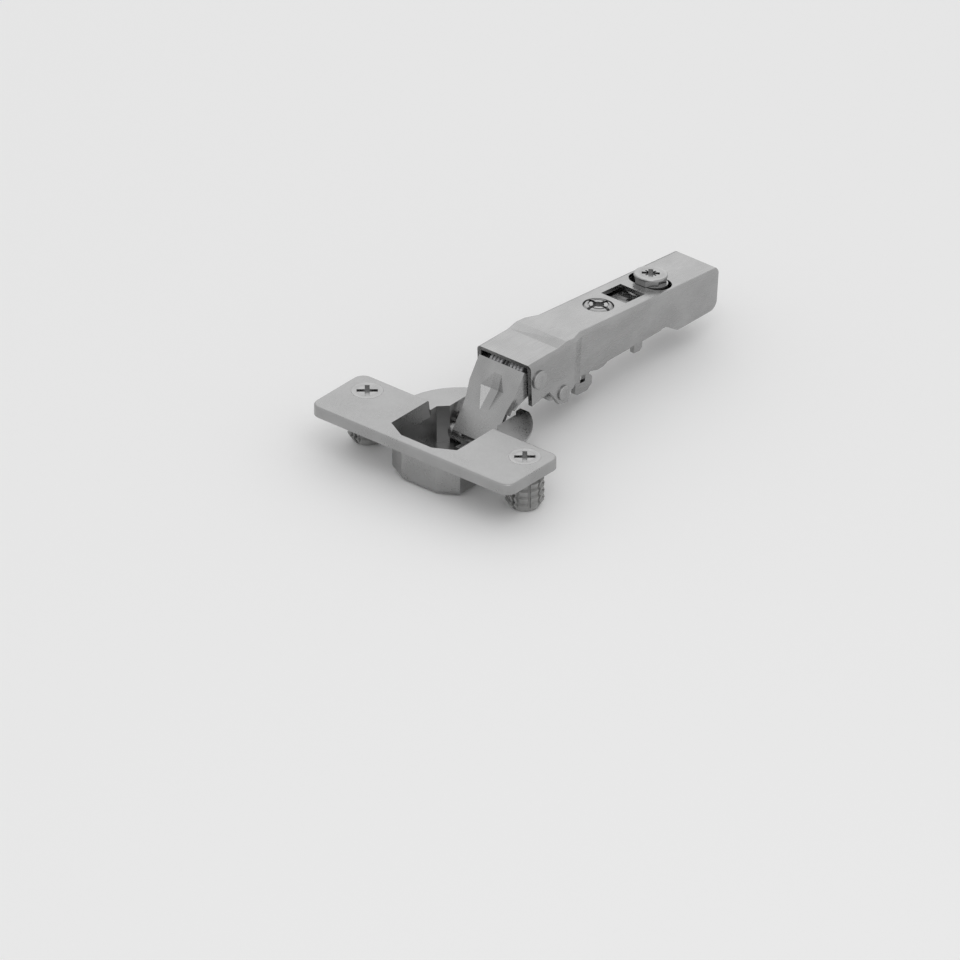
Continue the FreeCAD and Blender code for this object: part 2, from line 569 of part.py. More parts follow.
def build_outer_link():
    link = new_body("link_pressing")
    plate = new_sketch(link, "link_plate", "XY", f"{PLATE_FACE} - link_sheet")
    add_outline(plate, mirrored([("foot_half", "0"), ("foot_half", "shoulder_foot"), (LINK_HALF, "shoulder_top"),
                                 (LINK_HALF, "plate_top")]))
    pad(link, plate, "link_sheet")
    corner_y = [number("shoulder_foot"), number("shoulder_top")]
    round_edges(link, lambda edge: upright(edge) and min(abs(edge.CenterOfMass.y - y) for y in corner_y) < 0.01,
                "shoulder_top - shoulder_foot")

    cheek_points = [("cheek_start", f"{PLATE_FACE} - link_sheet"), ("plate_top", f"{PLATE_FACE} - link_sheet"),
                    (f"{PIN_ON_PLATE_Y} + cheek_eye", PIN_ON_PLATE_Z),
                    (f"{PIN_ON_PLATE_Y} + 0.4 * cheek_eye", f"{PIN_ON_PLATE_Z} - cheek_eye"),
                    (f"{PIN_ON_PLATE_Y} - 0.6 * cheek_eye", f"{PIN_ON_PLATE_Z} - cheek_eye"),
                    ("shoulder_top", f"{PIN_ON_PLATE_Z} + 0.5 * cheek_eye")]
    for name, offset in (("right", f"{LINK_HALF} - link_sheet"), ("left", f"-{LINK_HALF}")):
        cheek = new_sketch(link, "link_cheek_" + name, "YZ", offset)
        add_outline(cheek, cheek_points)
        pad(link, cheek, "link_sheet")
    taper = new_sketch(link, "link_taper", "XY", "0")
    for sign in ("", "-"):
        add_outline(taper, [(sign + "foot_half", "cheek_start - 2"), (sign + "foot_half", "shoulder_foot"),
                            (sign + LINK_HALF, "shoulder_top"), (sign + "(2 * foot_half)", "shoulder_top"),
                            (sign + "(2 * foot_half)", "cheek_start - 2")])
    pocket(link, taper, f"2 * ({PLATE_FACE} - link_sheet - 0.01)", both_ways=True)

    for name, offset in (("right", "knuckle_half"), ("left", "-foot_half")):
        knuckle = new_sketch(link, "knuckle_" + name, "YZ", offset)
        add_circle(knuckle, "0", "0", PLATE_FACE)
        pad(link, knuckle, "foot_half - knuckle_half")
    eyes = new_sketch(link, "link_eyes", "YZ")
    add_circle(eyes, "0", "0", "lower_pin_radius + run_gap")
    add_circle(eyes, PIN_ON_PLATE_Y, PIN_ON_PLATE_Z, "front_pin_radius + run_gap")
    pocket(link, eyes, THROUGH, both_ways=True)

    bulge = doc.addObject("Part::Feature", "bead_back")
    bulge.Shape = bead_solid(number("link_sheet"))
    dent = doc.addObject("Part::Feature", "bead_front")
    dent.Shape = bead_solid(0.0)
    raised = doc.addObject("Part::Fuse", "link_with_bulge")
    raised.Base = link
    raised.Tool = bulge
    pressed = doc.addObject("Part::Cut", "link_with_bead")
    pressed.Base = raised
    pressed.Tool = dent
    place(pressed, "lower_pin_y", "-lower_pin_drop", PLATE_ANGLE)
    keep(pressed, "outer_link")


# Inner link: arched lever with a round eye on the cup and a slotted eye on the arm

def slab(wire, low, high):
    """Solid between two X values over a closed outline in the YZ plane."""
    face = Part.Face(wire)
    face.translate(V(low, 0, 0))
    return face.extrude(V(high - low, 0, 0))


def closed(*edges):
    return Part.Wire(Part.__sortEdges__(list(edges)))


def stadium(start, end, radius):
    """Outline of a slot between two centres in the YZ plane."""
    along = (end - start).normalize()
    side = V(0, -along.z, along.y) * radius
    return closed(Part.Arc(start + side, start - along * radius, start - side).toShape(),
                  Part.LineSegment(start - side, end - side).toShape(),
                  Part.Arc(end - side, end + along * radius, end + side).toShape(),
                  Part.LineSegment(end + side, start + side).toShape())


def disc(centre, radius):
    return Part.Wire(Part.makeCircle(radius, centre, V(1, 0, 0)))


def build_inner_link():
    pivot = V(0, number("upper_pin_y"), -number("upper_pin_drop"))
    far = V(0, number(REAR_PIN_Y), number(REAR_PIN_Z))
    along = (far - pivot).normalize()
    up = V(0, -along.z, along.y)
    middle = (pivot + far) * 0.5 + up * number("inner_rise")
    band = number("inner_band")
    hollow = number("rear_pin_radius") + number("slot_room")
    rim = hollow + number("slot_wall")
    slot_start = far - along * (number("slot_back") - number("slot_room"))
    slot_end = far + along * (number("slot_ahead") - number("slot_room"))
    half, neck = number("inner_half"), number("inner_neck_half")

    upper = Part.Arc(pivot + up * band, middle + up * band, far + up * band).toShape()
    lower = Part.Arc(pivot - up * band, middle - up * band, far - up * band).toShape()
    arch = closed(upper, lower, Part.LineSegment(pivot - up * band, pivot + up * band).toShape(),
                  Part.LineSegment(far - up * band, far + up * band).toShape())
    reach = disc(pivot, number("inner_neck_reach"))
    wide = slab(arch, -half, half).cut(slab(reach, -2 * half, 2 * half))
    narrow = slab(arch, -neck, neck).common(slab(disc(pivot, number("inner_neck_reach") + band), -half, half))
    eye = slab(disc(pivot, number("inner_eye")), -neck, neck)
    slotted = slab(stadium(slot_start, slot_end, rim), -half, half)
    solid = narrow.fuse([wide, eye, slotted])
    solid = solid.cut(slab(disc(pivot, number("upper_pin_radius + run_gap")), -2 * half, 2 * half))
    solid = solid.cut(slab(stadium(slot_start, slot_end, hollow), -2 * half, 2 * half))
    web = slab(stadium(far + along * 20, pivot + along * (number("inner_neck_reach") + 3 * band), 2 * rim),
               -half + 2 * band, half - 2 * band)
    solid = solid.cut(web.common(slab(stadium(slot_start, slot_end, rim + band), -half, half)))
    piece = doc.addObject("Part::Feature", "lever")
    piece.Shape = solid.removeSplitter()
    keep(piece, "inner_link")


# Arm: folded sheet, open at the front and below; drawn from the front arm pin

def arm_side():
    """Side view of the arm, from its upper front edge round to its nose."""
    rear, drop = "rear_pin_back", "rear_pin_drop"
    return [("-nose_reach", "nose_top"), ("step_start", "step_low"), ("step_end", "arm_top"),
            ("arm_rear", "arm_top"), ("arm_rear", "-tail_rise"), ("tail_slope", "-tail_drop"),
            ("skirt_end", "-skirt_rear"), ("neck_end", "-skirt_front"),
            (f"{rear} + ear_back", f"-{drop} - 0.07 * ear_drop"), (f"{rear} + 1.25 * ear_half", f"-{drop} - ear_drop"),
            (f"{rear} - 0.75 * ear_half", f"-{drop} - ear_drop"), ("belly_back", "-belly_drop"),
            ("-nose_foot", "-nose_drop")]


def build_arm():
    arm = new_body("arm_pressing")
    side = new_sketch(arm, "arm_side", "YZ")
    add_outline(side, arm_side())
    pad(arm, side, "2 * head_half", both_ways=True)
    waist = new_sketch(arm, "arm_waist", "XY")
    for sign in ("", "-"):
        add_outline(waist, [(sign + "head_half", "neck_start"), (sign + "rear_half", "neck_end"),
                            (sign + "rear_half", "arm_rear + 1"), (sign + "(2 * head_half)", "arm_rear + 1"),
                            (sign + "(2 * head_half)", "neck_start")])
    pocket(arm, waist, THROUGH, both_ways=True)
    rear_corner = V(0, number("arm_rear"), -number("tail_rise"))
    round_edges(arm, lambda edge: (V(0, edge.CenterOfMass.y, edge.CenterOfMass.z) - rear_corner).Length < 0.01,
                "tail_round")

    def long_bend(edge):
        spot = edge.CenterOfMass
        ends = [vertex.Point for vertex in edge.Vertexes]
        lengthwise = abs(ends[0].y - ends[1].y) > 1.0
        return lengthwise and abs(spot.x) > 1.0 and spot.z > number("nose_top")
    round_edges(arm, long_bend, "arm_bend")
    holes = new_sketch(arm, "arm_pin_holes", "YZ")
    add_circle(holes, "0", "0", "front_pin_radius + seat_gap")
    add_circle(holes, "rear_pin_back", "-rear_pin_drop", "rear_pin_radius + seat_gap")
    pocket(arm, holes, THROUGH, both_ways=True)
    windows = new_sketch(arm, "arm_windows", "XY", ARM_UNDER)
    add_circle(windows, "0", "side_screw_back", "side_screw_radius + side_gap")
    add_outline(windows, mirrored([("window_side", "window_front"), ("window_side", "window_rear")]))
    slot_half = "(cam_disc_radius + cam_disc_gap)"
    add_outline(windows, mirrored([("cam_slot_half", f"cam_back - {slot_half}"),
                                   ("cam_slot_half", f"cam_back + {slot_half}")]))
    pocket(arm, windows, "2 * arm_sheet", backwards=True)
    for name, side in (("slot_end_right", "cam_slot_half"), ("slot_end_left", "-cam_slot_half")):
        slot_end = new_sketch(arm, name, "XY", ARM_UNDER)
        add_circle(slot_end, side, "cam_back", slot_half)
        pocket(arm, slot_end, "2 * arm_sheet", backwards=True)

    core = new_body("arm_hollow")
    inner_side = new_sketch(core, "core_side", "YZ")
    add_outline(inner_side, [("-2 * nose_reach", "nose_top - arm_sheet"), ("step_start", "step_low - arm_sheet"),
                             ("step_end", ARM_UNDER), ("arm_rear - arm_sheet", ARM_UNDER),
                             ("arm_rear - arm_sheet", "-2 * nose_drop"), ("-2 * nose_reach", "-2 * nose_drop")])
    pad(core, inner_side, f"2 * {HEAD_INSIDE}", both_ways=True)
    inner_waist = new_sketch(core, "core_waist", "XY")
    for sign in ("", "-"):
        add_outline(inner_waist, [(sign + HEAD_INSIDE, "neck_start"), (sign + "(rear_half - arm_sheet)", "neck_end"),
                                  (sign + "(rear_half - arm_sheet)", "arm_rear"),
                                  (sign + "(2 * head_half)", "arm_rear"), (sign + "(2 * head_half)", "neck_start")])
    pocket(core, inner_waist, THROUGH, both_ways=True)
    shell = doc.addObject("Part::Cut", "arm_sheet_shell")
    shell.Base = arm
    shell.Tool = core
    place_on_arm(shell)
    keep(shell, "arm_shell")


# Side screw: turns in the arm's top, held there by a collar; its foot hangs in the carrier's slot

def build_side_screw():
    screw = new_body("side_screw_blank")
    head_top = "(arm_top + side_head_rise)"
    collar_top = f"({ARM_UNDER} - 2 * run_gap)"
    collar_low = f"({collar_top} - 0.3)"
    neck_low = f"({CARRIER_UNDER} - side_travel)"
    turned(screw, "side_screw_bar", "XZ",
           [("0", head_top), ("0.7 * side_screw_radius", head_top),
            ("0.88 * side_screw_radius", f"{head_top} - 0.15"), ("side_screw_radius", f"{head_top} - 0.55"),
            ("side_screw_radius", collar_top), ("side_screw_radius + 0.8", collar_top),
            ("side_screw_radius + 0.8", collar_low), ("side_thread_radius", collar_low),
            ("side_neck_radius", f"{collar_low} - 0.1"), ("side_neck_radius", neck_low),
            ("side_foot_radius", neck_low), ("side_foot_radius", f"{neck_low} - 1"), ("0", f"{neck_low} - 1")])
    cross_recess(screw, "side_screw_cross", head_top, "2.1 * side_screw_radius", "0.75 * cross_width",
                 "0.9 * cross_depth", "cross_turn + 45")
    centre = new_sketch(screw, "side_screw_centre", "XY", head_top)
    add_circle(centre, "0", "0", "0.38 * side_screw_radius")
    pocket(screw, centre, "1.2 * cross_depth")
    ring = new_sketch(screw, "side_screw_ring", "XY", head_top)
    add_circle(ring, "0", "0", "0.72 * side_screw_radius")
    add_circle(ring, "0", "0", "0.62 * side_screw_radius")
    pocket(screw, ring, "0.35")
    seat_on_arm_line(screw, "side_screw_back")
    keep(screw, "side_screw")


def seat_on_arm_line(piece, back):
    """Seats an upright turned piece on the arm's middle line, tilted with the arm."""
    place(piece, f"{FRONT_PIN_Y} + {back} * cos(arm_tilt)", f"{FRONT_PIN_Z} - {back} * sin(arm_tilt)", "-arm_tilt")


# Depth cam: round head over an eight-sided skirt, with an eccentric disc in the arm's slot

CAM_FLATS = 8


def build_cam():
    cam = new_body("cam_blank")
    skirt_low = "(arm_top + 2 * run_gap)"
    disc_low = f"({ARM_UNDER} - 0.3)"
    rim = "(0.25 * cam_head_rise)"
    turned(cam, "cam_head", "XZ",
           [("0", skirt_low), ("0.9 * cam_head_radius", skirt_low),
            ("0.9 * cam_head_radius", f"arm_top + cam_head_rise - {rim}"),
            ("cam_head_radius", f"arm_top + cam_head_rise - {rim}"),
            ("cam_head_radius", "arm_top + cam_head_rise - 0.2"),
            ("cam_head_radius - 0.2", "arm_top + cam_head_rise"), ("0", "arm_top + cam_head_rise")])
    skirt = new_sketch(cam, "cam_skirt", "XY", skirt_low)
    corners = []
    for flat in range(CAM_FLATS):
        turn = f"{(flat + 0.5) * 360 / CAM_FLATS}"
        corners.append((f"0.99 * cam_head_radius * cos({turn})", f"0.99 * cam_head_radius * sin({turn})"))
    add_outline(skirt, corners)
    pad(cam, skirt, f"arm_top + cam_head_rise - {rim} - {skirt_low}")
    disc_sketch = new_sketch(cam, "cam_disc", "XY", disc_low)
    add_circle(disc_sketch, "cam_throw", "0", "cam_disc_radius")
    pad(cam, disc_sketch, f"{skirt_low} - {disc_low}")
    bore = new_sketch(cam, "cam_bore", "XY", disc_low)
    add_circle(bore, "0", "0", "stud_radius + run_gap")
    pocket(cam, bore, f"{skirt_low} - {disc_low} + 0.4", backwards=True)
    cross_recess(cam, "cam_cross", "arm_top + cam_head_rise", "0.85 * cross_span", "cross_width",
                 "0.9 * cross_depth", "cross_turn")
    cross_recess(cam, "cam_star", "arm_top + cam_head_rise", "0.7 * cross_span", "0.4 * cross_width",
                 "0.5 * cross_depth", "cross_turn + 45")
    seat_on_arm_line(cam, "cam_back")
    keep(cam, "depth_cam")

    stud = new_body("stud_blank")
    foot = f"({CARRIER_UNDER} - 2 * run_gap)"
    turned(stud, "stud_bar", "XZ",
           [("0", f"{foot} - 0.9"), ("stud_head_radius", f"{foot} - 0.9"), ("stud_head_radius", foot),
            ("stud_radius", foot), ("stud_radius", "carrier_top + 2 * run_gap"),
            ("stud_radius + 0.7", "carrier_top + 2 * run_gap"), ("stud_radius + 0.7", f"{disc_low} - run_gap"),
            ("stud_radius", f"{disc_low} - run_gap"), ("stud_radius", f"{skirt_low} + 0.3"), ("0", f"{skirt_low} + 0.3")])
    seat_on_arm_line(stud, "cam_back")
    keep(stud, "cam_stud")


# Clip carrier: folded channel inside the arm, with a hook and a tab on each side

def carrier_edge(back, lower="0"):
    """Height of the carrier's lower edge, which runs beside the arm's own."""
    slope = "((skirt_front - skirt_rear) / (skirt_end - neck_end))"
    return f"({slope} * ({back} - neck_end) - skirt_front - carrier_show - {lower})"


def build_carrier():
    carrier = new_body("carrier_pressing")
    rear_drop = "(latch_pin_drop + latch_pin_radius + 0.8)"
    side = new_sketch(carrier, "carrier_side", "YZ")
    add_outline(side, [
        ("carrier_front", "carrier_top"), ("carrier_rear", "carrier_top"), ("carrier_rear", "-" + rear_drop),
        ("tail_slope", "-" + rear_drop), ("skirt_end", carrier_edge("skirt_end")),
        ("tab_rear", carrier_edge("tab_rear")), ("tab_rear", "0.9 - tab_drop"), ("tab_rear - 0.9", "-tab_drop"),
        ("tab_front", "-tab_drop"),
        ("tab_front", carrier_edge("tab_front")), ("hook_rear + 6", carrier_edge("(hook_rear + 6)")),
        ("hook_rear + 4.4", carrier_edge("(hook_rear + 4.4)", "0.7")),
        ("hook_rear + 2", carrier_edge("(hook_rear + 2)", "0.8")),
        ("hook_rear - 0.8", carrier_edge("(hook_rear - 0.8)")), ("hook_rear - 1.6", "4.8 - hook_drop"),
        ("hook_rear - 0.6", "4.3 - hook_drop"), ("hook_rear", "3.7 - hook_drop"), ("hook_rear", "1.6 - hook_drop"),
        ("hook_rear - 1.6", "0.2 - hook_drop"), ("carrier_front + 1", "-hook_drop"),
        ("carrier_front", "0.6 - hook_drop")])
    pad(carrier, side, "2 * carrier_half", both_ways=True)
    level = number("carrier_top") - 1e-3
    round_edges(carrier, lambda edge: edge.BoundBox.ZMin > level and edge.BoundBox.YLength > 1.0, "carrier_bend")
    core = new_sketch(carrier, "carrier_core", "XY", "-2 * hook_drop")
    inside = "(carrier_half - carrier_sheet)"
    add_outline(core, mirrored([(inside, "carrier_front - 1"), (inside, "carrier_rear + 1")]))
    pocket(carrier, core, f"2 * hook_drop + {CARRIER_UNDER}", backwards=True)
    ports = new_sketch(carrier, "carrier_ports", "YZ")
    add_outline(ports, [("carrier_front + 1.8", "5 - hook_drop"), ("carrier_front + 1.8", "3.1 - hook_drop"),
                        ("carrier_front + 3.7", "3.1 - hook_drop"), ("carrier_front + 3.7", "5 - hook_drop")])
    add_circle(ports, "latch_pin_back", "-latch_pin_drop", "latch_pin_radius + seat_gap")
    pocket(carrier, ports, THROUGH, both_ways=True)
    top = new_sketch(carrier, "carrier_top_holes", "XY", CARRIER_UNDER)
    width = "(side_neck_radius + side_gap)"
    rear = "(side_screw_back + side_neck_radius + cam_throw + side_gap)"
    add_outline(top, mirrored([("0.38 * keyhole_radius", "keyhole_back - 0.92 * keyhole_radius"),
                               ("0.7 * keyhole_radius", "keyhole_back - 0.7 * keyhole_radius"),
                               ("0.92 * keyhole_radius", "keyhole_back - 0.38 * keyhole_radius"),
                               ("keyhole_radius", "keyhole_back"),
                               ("0.92 * keyhole_radius", "keyhole_back + 0.38 * keyhole_radius"),
                               (width, "keyhole_back + 0.78 * keyhole_radius"),
                               (width, f"{rear} - 0.5 * side_neck_radius"), (f"0.5 * {width}", rear)]))
    add_outline(top, mirrored([("0.4 * tongue_half", "port_front + 1.1 * tongue_half"),
                               ("0.84 * tongue_half", "port_front + 0.7 * tongue_half"), ("tongue_half", "port_front"),
                               ("port_half", "port_front"), ("port_half", "port_rear")]))
    add_circle(top, "0", "cam_back", "stud_radius + 2 * run_gap")
    pocket(carrier, top, "carrier_top", both_ways=True)
    place_on_arm(carrier)
    keep(carrier, "clip_carrier")


# Clip latch: sprung lever between the carrier's sides

def build_latch():
    latch = new_body("latch_pressing")
    side = new_sketch(latch, "latch_side", "YZ")
    add_outline(side, [("-6", "-1.6"), ("-4.6", "-2.4"), ("-1.5", "-2.2"), ("6.5", "-2"), ("10", "-1.4"), ("10", "0.9"),
                       ("2.6", "0.9"), ("1.2", "1.9"), ("-1.5", "1.9"), ("-5.6", "0.4")])
    pad(latch, side, "2 * latch_half", both_ways=True)
    core = new_sketch(latch, "latch_core", "XY", "-4")
    inside = "(latch_half - latch_sheet)"
    add_outline(core, mirrored([(inside, "-8"), (inside, "9")]))
    pocket(latch, core, "3.7", backwards=True)
    crown = new_sketch(latch, "latch_crown", "XY", "-4")
    add_outline(crown, mirrored([(inside, "-8"), (inside, "2.2")]))
    pocket(latch, crown, "8", backwards=True)
    eye = new_sketch(latch, "latch_eye", "YZ")
    add_circle(eye, "0", "0", "latch_pin_radius + run_gap")
    pocket(latch, eye, THROUGH, both_ways=True)
    back = "(latch_pin_back * cos(arm_tilt) - latch_pin_drop * sin(arm_tilt))"
    drop = "(latch_pin_back * sin(arm_tilt) + latch_pin_drop * cos(arm_tilt))"
    place(latch, f"{FRONT_PIN_Y} + {back}", f"{FRONT_PIN_Z} - {drop}", "-arm_tilt")
    keep(latch, "clip_latch")

    pin = new_body("latch_pin_blank")
    turned(pin, "latch_pin_bar", "XY", [("-carrier_half", "0"), ("carrier_half", "0"),
                                        ("carrier_half", "latch_pin_radius"), ("-carrier_half", "latch_pin_radius")])
    place(pin, f"{FRONT_PIN_Y} + {back}", f"{FRONT_PIN_Z} - {drop}", "-arm_tilt")
    keep(pin, "latch_pin")


# Springs

def coil(radius, wire, pitch, turns, left_handed=False):
    """Round wire wound along Z from the XY plane."""
    path = Part.makeHelix(pitch, pitch * turns, radius, 0, left_handed)
    start = path.Edges[0]
    direction = start.tangentAt(start.FirstParameter)
    section = Part.Wire(Part.makeCircle(wire, start.valueAt(start.FirstParameter), direction))
    return Part.Wire(path.Edges).makePipeShell([section], True, True)


def build_latch_spring():
    wire = number("latch_spring_wire")
    low = 0.9 - number("latch_pin_drop") + wire + 0.05
    high = number(CARRIER_UNDER) - wire - 0.05
    turns = 3
    spring = coil(number("latch_spring_radius"), wire, (high - low) / turns, turns)
    seat = FreeCAD.Placement(V(0, number("latch_pin_back") + 6.4, low), FreeCAD.Rotation())
    piece = doc.addObject("Part::Feature", "latch_coil")
    piece.Shape = spring
    piece.Placement = arm_placement().multiply(seat)
    keep(piece, "latch_spring")


def build_closing_spring():
    wire = number("coil_wire")
    turns = 3.5
    for name, turn in (("right", 90), ("left", -90)):
        spring = coil(number("coil_radius"), wire, number("coil_pitch"), turns, name == "left")
        side = 1 if name == "right" else -1
        seat = FreeCAD.Placement(V(side * number("coil_start"), 0, 0), FreeCAD.Rotation(V(0, 1, 0), turn))
        piece = doc.addObject("Part::Feature", "closing_coil_" + name)
        piece.Shape = spring
        piece.Placement = arm_placement().multiply(seat)
        keep(piece, "closing_spring_" + name)

    sleeve = new_body("sleeve_blank")
    inner, outer = "(front_pin_radius + run_gap)", "sleeve_radius"
    half = f"({LINK_HALF} - link_sheet - 0.1)"
    collar = "(coil_radius + 0.3)"
    right = [("0.35", outer), ("0.35", collar), ("0.75", collar), ("0.75", outer), (half, outer), (half, inner)]
    turned(sleeve, "sleeve_bar", "XY", [("-(" + x + ")", r) for x, r in reversed(right)] + right)
    place_on_arm(sleeve)
    keep(sleeve, "spring_sleeve")


build_cup()
build_dowel("dowel_left", "-fixing_spacing / 2")
build_dowel("dowel_right", "fixing_spacing / 2")
build_fixing_screw("fixing_screw_left", "-fixing_spacing / 2")
build_fixing_screw("fixing_screw_right", "fixing_spacing / 2")
build_plain_pin("cup_pin_lower", "lower_pin_y", "-lower_pin_drop", "lower_pin_radius", "tail_half")
build_plain_pin("cup_pin_upper", "upper_pin_y", "-upper_pin_drop", "upper_pin_radius", "tail_half")
build_outer_link()
build_inner_link()
build_rivet("arm_pin_front", FRONT_PIN_Y, FRONT_PIN_Z, "front_pin_radius", "front_head_radius", "head_half")
build_rivet("arm_pin_rear", REAR_PIN_Y, REAR_PIN_Z, "rear_pin_radius", "rear_head_radius", "head_half")
build_arm()
build_side_screw()
build_cam()
build_carrier()
build_latch()
build_latch_spring()
build_closing_spring()

doc.recompute()
for item in doc.Objects:
    if "Invalid" in item.State or "Error" in item.State:
        raise RuntimeError(f"{item.Label} did not recompute: {item.State}")
for name, piece in pieces.items():
    if piece.Shape.isNull() or not piece.Shape.isValid() or len(piece.Shape.Solids) != 1:
        raise RuntimeError(f"{name} is not one sound solid")

os.makedirs("parts", exist_ok=True)
for name, piece in pieces.items():
    piece.Shape.exportStep(f"parts/{name}.step")
    print(name, round(piece.Shape.Volume, 2))
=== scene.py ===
import math

import bmesh
import bpy
import numpy as np
from mathutils import Matrix, Vector


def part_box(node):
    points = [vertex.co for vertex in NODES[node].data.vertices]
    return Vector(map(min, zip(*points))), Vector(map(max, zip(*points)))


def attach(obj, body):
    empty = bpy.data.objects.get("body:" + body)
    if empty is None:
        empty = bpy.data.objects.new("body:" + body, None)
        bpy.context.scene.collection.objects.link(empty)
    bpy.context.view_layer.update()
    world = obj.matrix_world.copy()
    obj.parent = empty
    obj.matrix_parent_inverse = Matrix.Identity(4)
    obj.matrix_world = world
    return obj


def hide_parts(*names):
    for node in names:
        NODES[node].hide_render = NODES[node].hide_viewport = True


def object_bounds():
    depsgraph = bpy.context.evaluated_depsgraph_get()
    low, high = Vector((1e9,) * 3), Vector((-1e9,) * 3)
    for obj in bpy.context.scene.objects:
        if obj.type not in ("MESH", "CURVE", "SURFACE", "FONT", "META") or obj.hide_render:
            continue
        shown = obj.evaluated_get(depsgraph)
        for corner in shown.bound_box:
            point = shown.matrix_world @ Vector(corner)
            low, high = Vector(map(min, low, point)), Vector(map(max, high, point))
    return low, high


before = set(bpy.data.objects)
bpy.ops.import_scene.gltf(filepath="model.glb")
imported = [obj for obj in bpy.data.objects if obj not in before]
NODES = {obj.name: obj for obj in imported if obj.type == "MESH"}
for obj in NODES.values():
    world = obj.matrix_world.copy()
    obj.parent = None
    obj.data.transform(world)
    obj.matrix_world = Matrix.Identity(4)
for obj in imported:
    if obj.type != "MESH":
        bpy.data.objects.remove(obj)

bl_info = {
    "name": "Concealed cup hinge",
    "version": (1, 0, 0),
    "blender": (4, 5, 0),
    "location": "View3D > Sidebar > Cup hinge",
    "description": "Finishes the pieces of a concealed cup hinge and sets its studio",
    "category": "Object",
}

MM = 0.001
FRAME_BOX = [list(corner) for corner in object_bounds()]

# While the hinge is open, the arm falls by this angle towards its rear from its front pin.
ARM_TILT = math.radians(5.5)
FRONT_PIN_MM = (0.0, 20.599, 7.497)

# The noise seldom leaves the middle of its range, so patterns are read between these levels.
NOISE_RANGE = {"From Min": 0.35, "From Max": 0.65}

# Sharp edges are those that turn by more than this angle. Facets of round walls turn by less.
SHARP_ANGLE = math.radians(35)
JOINED_MM = 0.001
EDGE_SEGMENTS = 2

# The picture's width in pixels, then places and lengths of the studio in metres.
PICTURE_PIXELS = 960
CAMERA_DISTANCE = 0.6
CAMERA_CLIP = (0.01, 10)
FLOOR_REACH = 3
PANEL_PLACE = (-0.55, 0.65, 0.5)
KEY_PLACE = (0.45, -0.35, 0.85)
LAMP_AIM = (0.0, 0.03, 0.0)


def linear(code):
    """Linear colour with alpha from an sRGB hex code, through the sRGB curve."""
    parts = [int(code[i:i + 2], 16) / 255 for i in (1, 3, 5)]
    return tuple(c / 12.92 if c <= 0.04045 else ((c + 0.055) / 1.055) ** 2.4
                 for c in parts) + (1.0,)


def add(tree, kind, inputs=None, **settings):
    """Adds one node, sets its properties, and fills or links its inputs."""
    node = tree.nodes.new(kind)
    for key, value in settings.items():
        setattr(node, key, value)
    for key, value in (inputs or {}).items():
        if isinstance(value, bpy.types.NodeSocket):
            tree.links.new(value, node.inputs[key])
        else:
            node.inputs[key].default_value = value
    return node


def new_material(name):
    """Material with an empty node tree."""
    material = bpy.data.materials.new(name)
    material.use_nodes = True
    material.node_tree.nodes.clear()
    return material, material.node_tree


def close_material(tree, inputs):
    """One shader, whose plain values sit on its own sockets, and the output."""
    shader = add(tree, "ShaderNodeBsdfPrincipled", inputs)
    add(tree, "ShaderNodeOutputMaterial", {"Surface": shader.outputs[0]})


def pattern(tree, size_mm, centre=(0.0, 0.0, 0.0), turn=(0.0, 0.0, 0.0), detail=3.0):
    """Noise in object space whose grains measure size_mm along the object's X, Y and Z.

    The turn comes after the scaling, so it picks another cut through the noise, and long grains
    keep to the object's own axes.
    """
    place = add(tree, "ShaderNodeTexCoord").outputs["Object"]
    moved = add(tree, "ShaderNodeMapping",
                {"Vector": place, "Location": [-c for c in centre]}).outputs[0]
    mapped = add(tree, "ShaderNodeMapping",
                 {"Vector": moved, "Rotation": turn,
                  "Scale": [1 / (s * MM) for s in size_mm]}).outputs[0]
    return add(tree, "ShaderNodeTexNoise",
               {"Vector": mapped, "Scale": 1.0, "Detail": detail, "Roughness": 0.55}).outputs["Fac"]


def two_tones(tree, noise, colours):
    """Colour that drifts between a darker and a lighter hex colour with a pattern."""
    drift = add(tree, "ShaderNodeMapRange",
                {"Value": noise, **NOISE_RANGE, "To Min": 0.0, "To Max": 1.0}).outputs["Result"]
    darker, lighter = 6, 7
    return add(tree, "ShaderNodeMix",
               {"Factor": drift, darker: linear(colours[0]), lighter: linear(colours[1])},
               data_type="RGBA").outputs[2]


def clouded(tree, grain, grain_limits, cloud, cloud_limits):
    """Roughness that follows a fine grain and shifts a little with a broad cloud."""
    parts = {}
    for slot, (noise, limits) in enumerate(((grain, grain_limits), (cloud, cloud_limits))):
        parts[slot] = add(tree, "ShaderNodeMapRange",
                          {"Value": noise, **NOISE_RANGE,
                           "To Min": limits[0], "To Max": limits[1]}).outputs["Result"]
    return add(tree, "ShaderNodeMath", parts, operation="ADD").outputs[0]


def nickel_plated_sheet(name, colours, turn=(0.0, 0.0, 0.0), centre=(0.0, 0.0, 0.0)):
    """Nickel plate on cold-rolled steel: soft gleam, faint rolling grain, slight cloudiness.

    Rolling grain is taken as under 0.1 mm wide, too fine to show. It is drawn 0.35 mm wide and
    9 mm long along Y, and the plating's clouds 7 to 11 mm wide.
    """
    material, tree = new_material(name)
    grain = pattern(tree, (0.35, 9.0, 0.35), centre, turn)
    cloud = pattern(tree, (7.0, 11.0, 7.0), centre, turn, detail=2.0)
    fine = pattern(tree, (0.5, 0.5, 0.5), centre, detail=1.0)
    height = add(tree, "ShaderNodeMath", {0: grain, 1: fine}, operation="ADD").outputs[0]
    relief = add(tree, "ShaderNodeBump",
                 {"Height": height, "Strength": 0.03, "Distance": 0.02 * MM}).outputs[0]
    close_material(tree, {
        "Metallic": 1.0,
        "Base Color": two_tones(tree, cloud, colours),
        "Roughness": clouded(tree, grain, (0.23, 0.32), cloud, (-0.03, 0.04)),
        "Normal": relief,
    })
    return material


